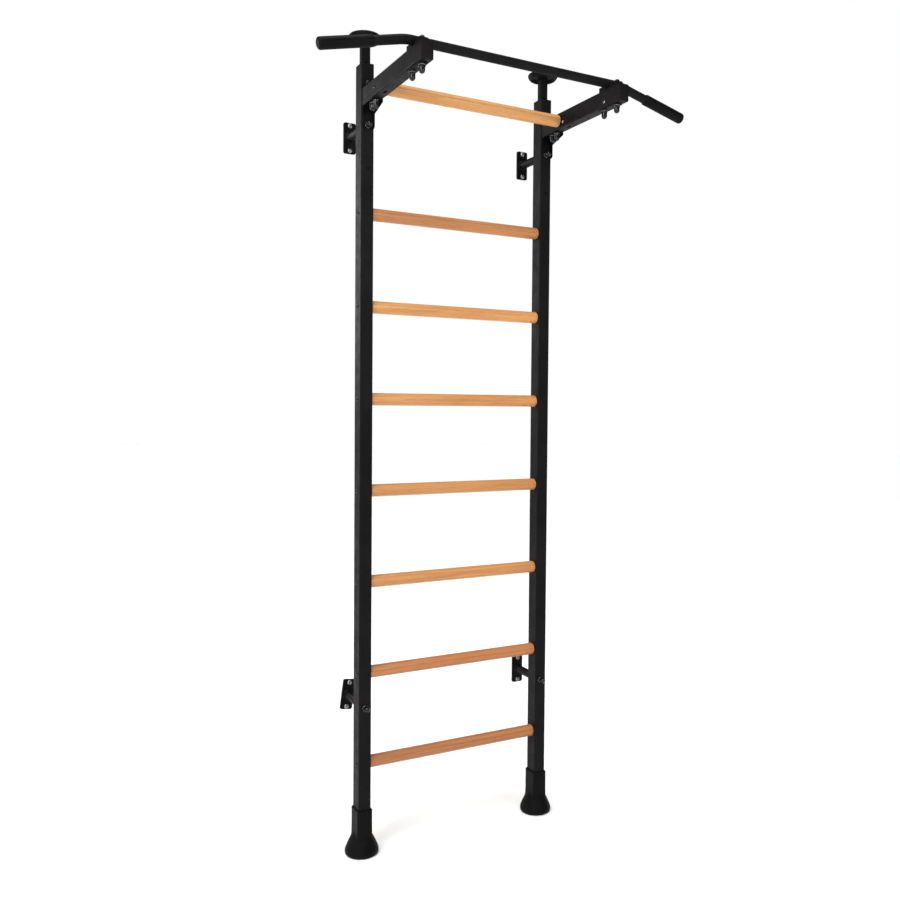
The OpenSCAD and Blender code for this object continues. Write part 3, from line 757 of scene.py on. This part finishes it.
def make_arm(side, s):
    """Arm with its end plate, slot and screw holes, then its front cap."""
    node = f"{side}_arm"
    lo, hi = mm_box(node)
    at = toward((s * POST_X, hi.y, ARM_Z), (0, -1, 0))
    bm = bmesh.new()
    tube(bm, ARM_W, ARM_H, 3.0, TUBE_T, 0, hi.y - lo.y, at, lip=0.4)
    obj = piece(f"{side}_arm_tube", STEEL, bm)
    # the end plate is let a little way into the tube's walls
    inset = 2 * (TUBE_T - 0.6)
    combine(obj, [block(ARM_W - inset, ARM_H - inset, 1.4, 0.2, 3, at, 5)], "UNION")
    x, inner = s * POST_X, s * (POST_X - ARM_W / 2)
    slot_at = Matrix.Translation((x, FRONT - ARM_SLOT, arm_lo.z))
    cuts = [block(8, 24, 3.99, -2, 4, slot_at), rod_cut((x, FRONT, ARM_Z), (0, 1, 0), M8_HOLE, 12)]
    cuts += [rod_cut((inner, FRONT - reach, ARM_Z - drop), (1, 0, 0), 5.4, 8)
             for reach, drop in SIDE_SCREWS]
    cuts += [rod_cut((x, FRONT - v, arm_lo.z), (0, 0, 1), M8_HOLE, 8) for v in GUSSET_REACH]
    combine(obj, cuts)
    shade_flats(obj)
    attach(obj, node)
    # end cap, with its inner plug and a shadow gap round the edge
    lo, hi = mm_box(f"{side}_arm_cap")
    at = toward((x, lo.y, ARM_Z), (0, 1, 0))
    rings = [[(0, 0, 0)], rrect(10, 20, 2, 0)]
    rings += [rrect(ARM_W - v, ARM_H - v, r, z) for v, r, z in
              ((3, 2.4, 0), (1.2, 2.8, 0.3), (0.2, 3.0, 1.0), (0.2, 3.0, 1.7), (1.0, 2.6, 1.95),
               (4.4, 1.6, 1.95), (4.4, 1.6, 16), (7, 1.0, hi.y - lo.y))]
    bm = bmesh.new()
    loft(bm, rings, at)
    piece(f"{side}_arm_end_cap", STEEL, bm, f"{side}_arm_cap", sharp=50)


def make_gusset(side, s):
    """Folded bracket: a leg under the arm, a slotted leg on the upright, a cheek on the +X side."""
    node = f"{side}_gusset"
    lo, hi = mm_box(node)
    x, top = s * POST_X, hi.z
    t, bend = GUSSET_T, 4.5
    drop, reach = hi.z - lo.z, hi.y - lo.y
    # L section in (reach, height), extruded along x
    section = arc(bend, -bend, bend, 180, 90) + [(reach, 0), (reach, -t)]
    section += arc(bend, -bend, bend - t, 90, 180) + [(t, -drop), (0, -drop)]
    at = Matrix.Translation((0, FRONT, top)) @ FORWARD_UP
    bm = bmesh.new()
    extrude(bm, section, lo.x + 0.2, hi.x - 0.4, at)
    obj = piece(f"{side}_gusset_sheet", BRACKET, bm)
    waist = 14
    cheek = [(0.2, -0.2), (reach - 2, -0.2), (reach - 0.2, -2), (reach - 0.2, -8), (waist + 1, -25),
             (waist, -27), (waist, -drop + 6), (9, -drop + 0.2), (0.2, -drop + 0.2)]
    side_sheet = cutter(lambda b: extrude(b, cheek, hi.x - t, hi.x - 0.05, at))
    combine(obj, [side_sheet], "UNION")
    slot_at = toward((x, FRONT, UPPER_Z + SLOT_RISE), (0, -1, 0))
    cuts = [block(10, 28, 4.9, -8, 8, slot_at), rod_cut((x, FRONT, UPPER_Z), (0, 1, 0), M8_HOLE, 16)]
    cuts += [rod_cut((x, FRONT - v, top), (0, 0, 1), M8_HOLE, 16) for v in GUSSET_REACH]
    combine(obj, cuts)
    soften(obj, 0.6, 2, 50)
    attach(obj, node)


def bar_path():
    """Half of the bar's centre line from the middle outward, as (x, z) points."""
    angle = math.radians(BAR_ANGLE)
    start = BAR_BEND_X - BAR_BEND_R * math.tan(angle / 2)
    pts = [(start * i / 8, BAR_Z) for i in range(9)]
    for i in range(1, 17):
        a = angle * i / 16
        pts.append((start + BAR_BEND_R * math.sin(a), BAR_Z - BAR_BEND_R * (1 - math.cos(a))))
    end = bar_hi.x - BAR_D / 2 * math.sin(angle)
    x0, z0 = pts[-1]
    run = (end - x0) / math.cos(angle)
    for i in range(1, 7):
        step = run * i / 6
        pts.append((x0 + step * math.cos(angle), z0 - step * math.sin(angle)))
    return pts, angle


def make_bar():
    """Bent bar, then a rubber sleeve with a rounded end on each end of it."""
    half, angle = bar_path()
    line = [(-x, z) for x, z in reversed(half[1:])] + half
    r = BAR_D / 2
    rings = []
    for i, (x, z) in enumerate(line):
        ax, az = line[max(i - 1, 0)]
        bx, bz = line[min(i + 1, len(line) - 1)]
        dx, dz = bx - ax, bz - az
        size = math.hypot(dx, dz)
        up = (-dz / size, dx / size)
        rings.append([(x + up[0] * v, BAR_Y + w, z + up[1] * v) for v, w, _ in circle(r)])
    bm = bmesh.new()
    loft(bm, rings)
    piece("pull_up_bar_tube", STEEL, bm, "pull_up_bar", sharp=50)
    x1, z1 = half[-1]
    for side, s in SIDES:
        axis = Vector((s * math.cos(angle), 0, -math.sin(angle)))
        at = toward(Vector((s * x1, BAR_Y, z1)) + axis * GRIP_END_T, axis)
        # z runs from the inner rim at -GRIP_LEN to the end at 0, with one groove near the end
        r, inner = GRIP_D / 2, -GRIP_LEN
        rings = [(BAR_D / 2 + 0.05, inner), (r - 1.9, inner), (r - 0.9, inner + 0.6),
                 (r - 0.3, inner + 2.2), (r, inner + 5)]
        rings += [(r, inner + 5 + (GRIP_LEN - 26) * i / 8) for i in range(1, 9)]
        rings += [(r, -16.4), (r - 0.5, -16), (r - 0.5, -15.2), (r, -14.8), (r, -6.4)]
        rings += arc(r - 6.4, -6.4, 6.4, 12, 78, 7)
        rings += [(r - 7.5, 0.0), (4.5, 0.0), (3.6, -0.5), (0, -0.5)]
        bm = bmesh.new()
        lathe(bm, rings, at, 80)
        piece(f"{side}_grip_sleeve", RUBBER, bm, f"{side}_grip", sharp=40)


def make_saddle(side, s):
    """Block with a trough for the bar on top of the arm, and the plate under the arm."""
    node = f"{side}_saddle"
    lo, hi = mm_box(node)
    half, height = (hi.y - lo.y) / 2, hi.z - lo.z
    r = BAR_D / 2 + 0.05
    drop = BAR_Z - lo.z
    a0 = math.degrees(math.asin((drop - height) / r))
    trough = arc(0, drop, r, -a0, -180 + a0, 20)
    outline = [(half, 0), (half, height)] + trough + [(-half, height), (-half, 0)]
    at = Matrix.Translation((0, BAR_Y, lo.z)) @ BACK_UP
    bm = bmesh.new()
    extrude(bm, outline, lo.x, hi.x, at)
    obj = piece(f"{side}_saddle_block", STEEL, bm)
    soften(obj, 1.2, 3, 50)
    attach(obj, node)
    lo, hi = mm_box(f"{side}_backing_plate")
    bm = bmesh.new()
    w, length = hi.x - lo.x, hi.y - lo.y
    loft(bm, [rrect(w, length, 4, lo.z, 8), rrect(w, length, 4, hi.z, 8)],
         Matrix.Translation((s * POST_X, BAR_Y, 0)))
    obj = piece(f"{side}_backing_sheet", STEEL, bm)
    soften(obj, 0.6, 2, 50)
    attach(obj, f"{side}_backing_plate")


def make_saddle_bolts():
    """Domed bolts that clamp the saddles; their heads stand on the saddles' tops."""
    top = mm_box("right_saddle")[1].z
    tail, r, head_h, rim = -80, 7.5, 8, 1.2
    rings = [(0, tail), (M8 / 2 - 0.6, tail), (M8 / 2, tail + 1), (M8 / 2, 0)]
    rings += [(r - 0.2, 0), (r, 0.3), (r, rim)]
    for a in (12, 25, 38, 51, 64, 77):
        rings.append((r * math.cos(math.radians(a)), rim + (head_h - rim) * math.sin(math.radians(a))))
    rings.append((0, head_h))
    bm = bmesh.new()
    for _, s in SIDES:
        for y in (-1, 1):
            at = Matrix.Translation((s * POST_X, BAR_Y + y * SADDLE_PITCH / 2, top))
            lathe(bm, rings, at, 40)
    piece("saddle_bolt_set", BLACKENED, bm, "saddle_bolts")


def nut_seats():
    """Every domed nut's seat and the direction it points."""
    seats = []
    for _, s in SIDES:
        x = s * POST_X
        seats += [((x, BAR_Y + y * SADDLE_PITCH / 2, arm_lo.z - BACKING_T), (0, 0, -1))
                  for y in (-1, 1)]
        seats += [((x, FRONT - v, arm_lo.z - GUSSET_T), (0, 0, -1)) for v in GUSSET_REACH]
        seats += [((x, FRONT - GUSSET_T, UPPER_Z), (0, -1, 0)), ((x, FRONT, LOWER_Z), (0, -1, 0))]
    return seats


def make_nuts():
    """Domed nuts on bright washers, each nut tightened to another angle."""
    nuts, rings = bmesh.new(), bmesh.new()
    for i, (place, axis) in enumerate(nut_seats()):
        acorn(nuts, toward(Vector(place) + Vector(axis) * WASHER_T, axis, 0.37 * i))
        washer(rings, toward(place, axis), WASHER_D, M8_HOLE, WASHER_T)
    piece("acorn_nut_set", BLACKENED, nuts, "acorn_nuts", sharp=24)
    piece("nut_washer_set", ZINC, rings, "nut_washers", sharp=50)


def make_rung_screws():
    """A button-head screw through the upright or the arm into each end of every rung."""
    for side, s in SIDES:
        bm = bmesh.new()
        for k in RUNGS:
            lo, hi = mm_box(f"rung_{k}")
            # the top rung hangs between the arms
            x = POST_X + (ARM_W if k == RUNGS[-1] else POST_W) / 2
            at = toward((s * x, (lo.y + hi.y) / 2, (lo.z + hi.z) / 2), (s, 0, 0), 0.5 * k)
            button_head(bm, at, 13, 2.5, hexagon(5), 1.7)
            shank(bm, at, M8, -(x - hi.x) - 20, 0.2)
        piece(f"{side}_rung_screw_set", BLACKENED, bm, f"{side}_rung_screws", sharp=32)


def make_front_fasteners():
    """Hole plugs and lock screws on the uprights' fronts, small screws on the arms' inner faces."""
    plugs, locks = bmesh.new(), bmesh.new()
    for _, s in SIDES:
        at = toward((s * POST_X, FRONT, PLUG_Z), (0, -1, 0))
        lathe(plugs, [(0, -5), (3.6, -5), (4.2, -4), (4.2, -0.1), (5.6, -0.1), (6, 0.3), (5.8, 0.9),
                      (4.8, 1.4), (2.5, 1.6), (0, 1.6)], at, 40)
        at = toward((s * POST_X, FRONT, LOCK_Z), (0, -1, 0), 0.4)
        button_head(locks, at, 14, 4.5, hexagon(5), 2.6)
        shank(locks, at, M8, -14.3, 0.2)
    piece("hole_plug_set", PLASTIC, plugs, "hole_plugs")
    piece("lock_screw_set", BLACKENED, locks, "lock_screws", sharp=32)
    bm = bmesh.new()
    for _, s in SIDES:
        inner = s * (POST_X - ARM_W / 2)
        for reach, drop in SIDE_SCREWS:
            at = toward((inner, FRONT - reach, ARM_Z - drop), (-s, 0, 0), 0.3 + reach)
            button_head(bm, at, 9, 2.5, hexagon(4), 1.7)
            shank(bm, at, 5, -9.5, 0.2)
    piece("arm_side_screw_set", ZINC, bm, "arm_side_screws", sharp=32)


def make_prop(side, s):
    """Ceiling prop: tube with pin holes, round pad with a ribbed top, countersunk screw."""
    x = s * POST_X
    lo, hi = mm_box(f"{side}_prop_tube")
    bm = bmesh.new()
    tube(bm, PROP_W, PROP_D, 2.4, TUBE_T, lo.z, hi.z, Matrix.Translation((x, POST_Y, 0)), lip=0.3)
    obj = piece(f"{side}_prop_tube_body", STEEL, bm)
    combine(obj, [rod_cut((x, POST_Y, z), (0, 1, 0), PIN_D, 30) for z in (LOCK_Z, LOCK_Z + PIN_PITCH)])
    shade_flats(obj)
    attach(obj, f"{side}_prop_tube")
    lo, hi = mm_box(f"{side}_ceiling_pad")
    r, base, top = (hi.x - lo.x) / 2, lo.z, hi.z
    roof = top - PAD_ROOF
    screw_hole = M8_HOLE / 2
    # from the screw hole down over the socket for the tube, along the hollow underside, round the rim
    tube_hole = rect_radius(PROP_W + 0.2, PROP_D + 0.2, 2.4)
    rings = [(screw_hole, roof + 2), (tube_hole, roof + 2), (tube_hole, roof - 3.2),
             (blend(tube_hole, 17, 0.5), roof - 3.8), (blend(tube_hole, 18, 0.9), roof - 3.2),
             (blend(tube_hole, 19, 0.9), roof - 0.4), (21, roof), (r - 16.5, roof),
             (r - 14.2, roof - 0.8), (r - 13.2, roof - 2.5), (r - 12.4, base + 2),
             (r - 11.4, base + 0.5), (r - 10, base), (r - 8.6, base + 0.2), (r - 6.6, base + 1.3),
             (r - 4.6, base + 3.2), (r - 2.8, base + 5.6), (r - 1.3, base + 8), (r - 0.4, base + 10),
             (r, base + 11.6), (r, base + 14), (r - 0.4, base + 15.6), (r - 1.3, base + 17.2),
             (r - 2.8, base + 18.5), (r - 4.4, top)]
    # ribbed top
    for v in (39, 31, 23):
        rings += [(v, top), (v - 0.8, top - 1.1), (v - 2.2, top - 1.1), (v - 3.0, top)]
    rings += [(8.6, top), (8.6, top - 2), (8.4, top - 2.1), (screw_hole, top - 7)]
    bm = bmesh.new()
    lathe(bm, rings, Matrix.Translation((x, POST_Y, 0)), 96, loop=True)
    piece(f"{side}_ceiling_pad_body", RUBBER, bm, f"{side}_ceiling_pad", sharp=38)
    lo, hi = mm_box(f"{side}_pad_screw")
    at = Matrix.Translation((x, POST_Y, hi.z))
    bm = bmesh.new()
    hexa, tail = hexagon(5), lo.z - hi.z
    lathe(bm, [(0, tail), (M8 / 2 - 0.6, tail), (M8 / 2, tail + 0.8), (M8 / 2, -5), (7.7, -0.6),
               (8, -0.3), (7.7, 0), (blend(3.4, hexa, 0.4), 0), (blend(hexa, 0, 0.02), -0.15),
               (blend(hexa, 0, 0.06), -2), (0, -2.4)], at, 48)
    piece(f"{side}_pad_screw_body", ZINC, bm, f"{side}_pad_screw", sharp=32)


def make_bracket(name, s, z, turn):
    """Dished wall plate, welded stem, two cross-head wall screws."""
    at = Matrix.Translation((s * POST_X, 0, z)) @ Matrix.Rotation(math.radians(turn), 4, "Y")
    out = at @ toward((0, 0, 0), (0, -1, 0))
    depth, back = PLATE_DEPTH, PLATE_DEPTH - PLATE_T

    def outline(inset, r, z):
        return rrect(PLATE_W - inset, PLATE_H - inset, r, z, 7)

    # outside and front, in to the opening for the stem, then along the hollow back
    brow, opening = outline(4.6, 4.2, depth), 10.4
    rings = [outline(0.6, 5.7, 0), outline(0, 6, 0.5), outline(0, 6, depth - 2.6),
             outline(0.7, 5.7, depth - 1.1), outline(2.4, 5.0, depth - 0.25), brow,
             onto_circle(brow, opening, depth), onto_circle(brow, opening, back),
             outline(8, 2.4, back), outline(6, 3.1, back - 1), outline(6, 3.1, 0)]
    bm = bmesh.new()
    loft(bm, rings, out, loop=True)
    obj = piece(f"{name}_plate", BRACKET, bm)
    # stem with a weld bead at the plate and a solid, threaded end at the upright
    length, r, bore, thread, solid = -BACK, 13, 10.5, 4.3, 30
    stem = [(thread, length), (r - 0.8, length), (r, length - 0.8)]
    stem += [(r + v, depth + z) for v, z in
             ((0, 4.4), (0.3, 3.2), (1.2, 2.4), (2.3, 1.5), (3.4, 0.9), (3.9, -0.2))]
    stem += [(bore, depth - 0.2), (bore, length - solid), (thread, length - solid)]
    sleeve = cutter(lambda b: lathe(b, stem, out, 64, loop=True))
    screws = (-WALL_SCREW_PITCH / 2, WALL_SCREW_PITCH / 2)
    axis = out.to_3x3() @ Vector((0, 0, 1))
    cuts = [rod_cut(out @ Vector((0, v, depth / 2)), axis, 7, 20) for v in screws]
    combine(obj, cuts)
    combine(obj, [sleeve], "UNION")
    shade_flats(obj)
    attach(obj, f"{name}_bracket")
    bm = bmesh.new()
    for v in screws:
        head = out @ Matrix.Translation((0, v, depth)) @ Matrix.Rotation(0.5 + v, 4, "Z")
        button_head(bm, head, 15, 4, cross(7.2, 1.9), 2.4, 72)
        lathe(bm, [(0, -38), (0.6, -38), (3, -31), (3, -8.5), (3.25, -8.5), (3.25, 0.2), (0, 0.2)],
              head, 28)
    piece(f"{name}_wall_screw_pair", ZINC, bm, f"{name}_wall_screws", sharp=32)


# ---- build ----

for side, s in SIDES:
    make_upright(side, s)
    make_foot(side, s)
    make_guide(side, s)
    make_arm(side, s)
    make_gusset(side, s)
    make_saddle(side, s)
    make_prop(side, s)
for k in RUNGS:
    make_rung(k)
make_bar()
make_saddle_bolts()
make_nuts()
make_rung_screws()
make_front_fasteners()
for name, s, z, turn in (("upper_left", -1, UPPER_Z, 0), ("upper_right", 1, UPPER_Z, 0),
                         ("lower_left", -1, LOWER_Z, LEFT_TURN), ("lower_right", 1, LOWER_Z, 0)):
    make_bracket(name, s, z, turn)

# the hidden CAD nodes that stay get the finish of their slot
for node, obj in frame["nodes"].items():
    obj.data.materials.clear()
    obj.data.materials.append(DEFAULT[SLOT[node]])

# floor: a slab that starts just under the soles
FLOOR_R, FLOOR_TOP, FLOOR_BASE = 30000, -0.4, -60.4
bm = bmesh.new()
lathe(bm, [(0, FLOOR_TOP), (FLOOR_R, FLOOR_TOP), (FLOOR_R, FLOOR_BASE), (0, FLOOR_BASE)], n=96)
floor = piece("floor", FLOOR, bm)

bpy.context.scene.view_settings.view_transform = "Standard"
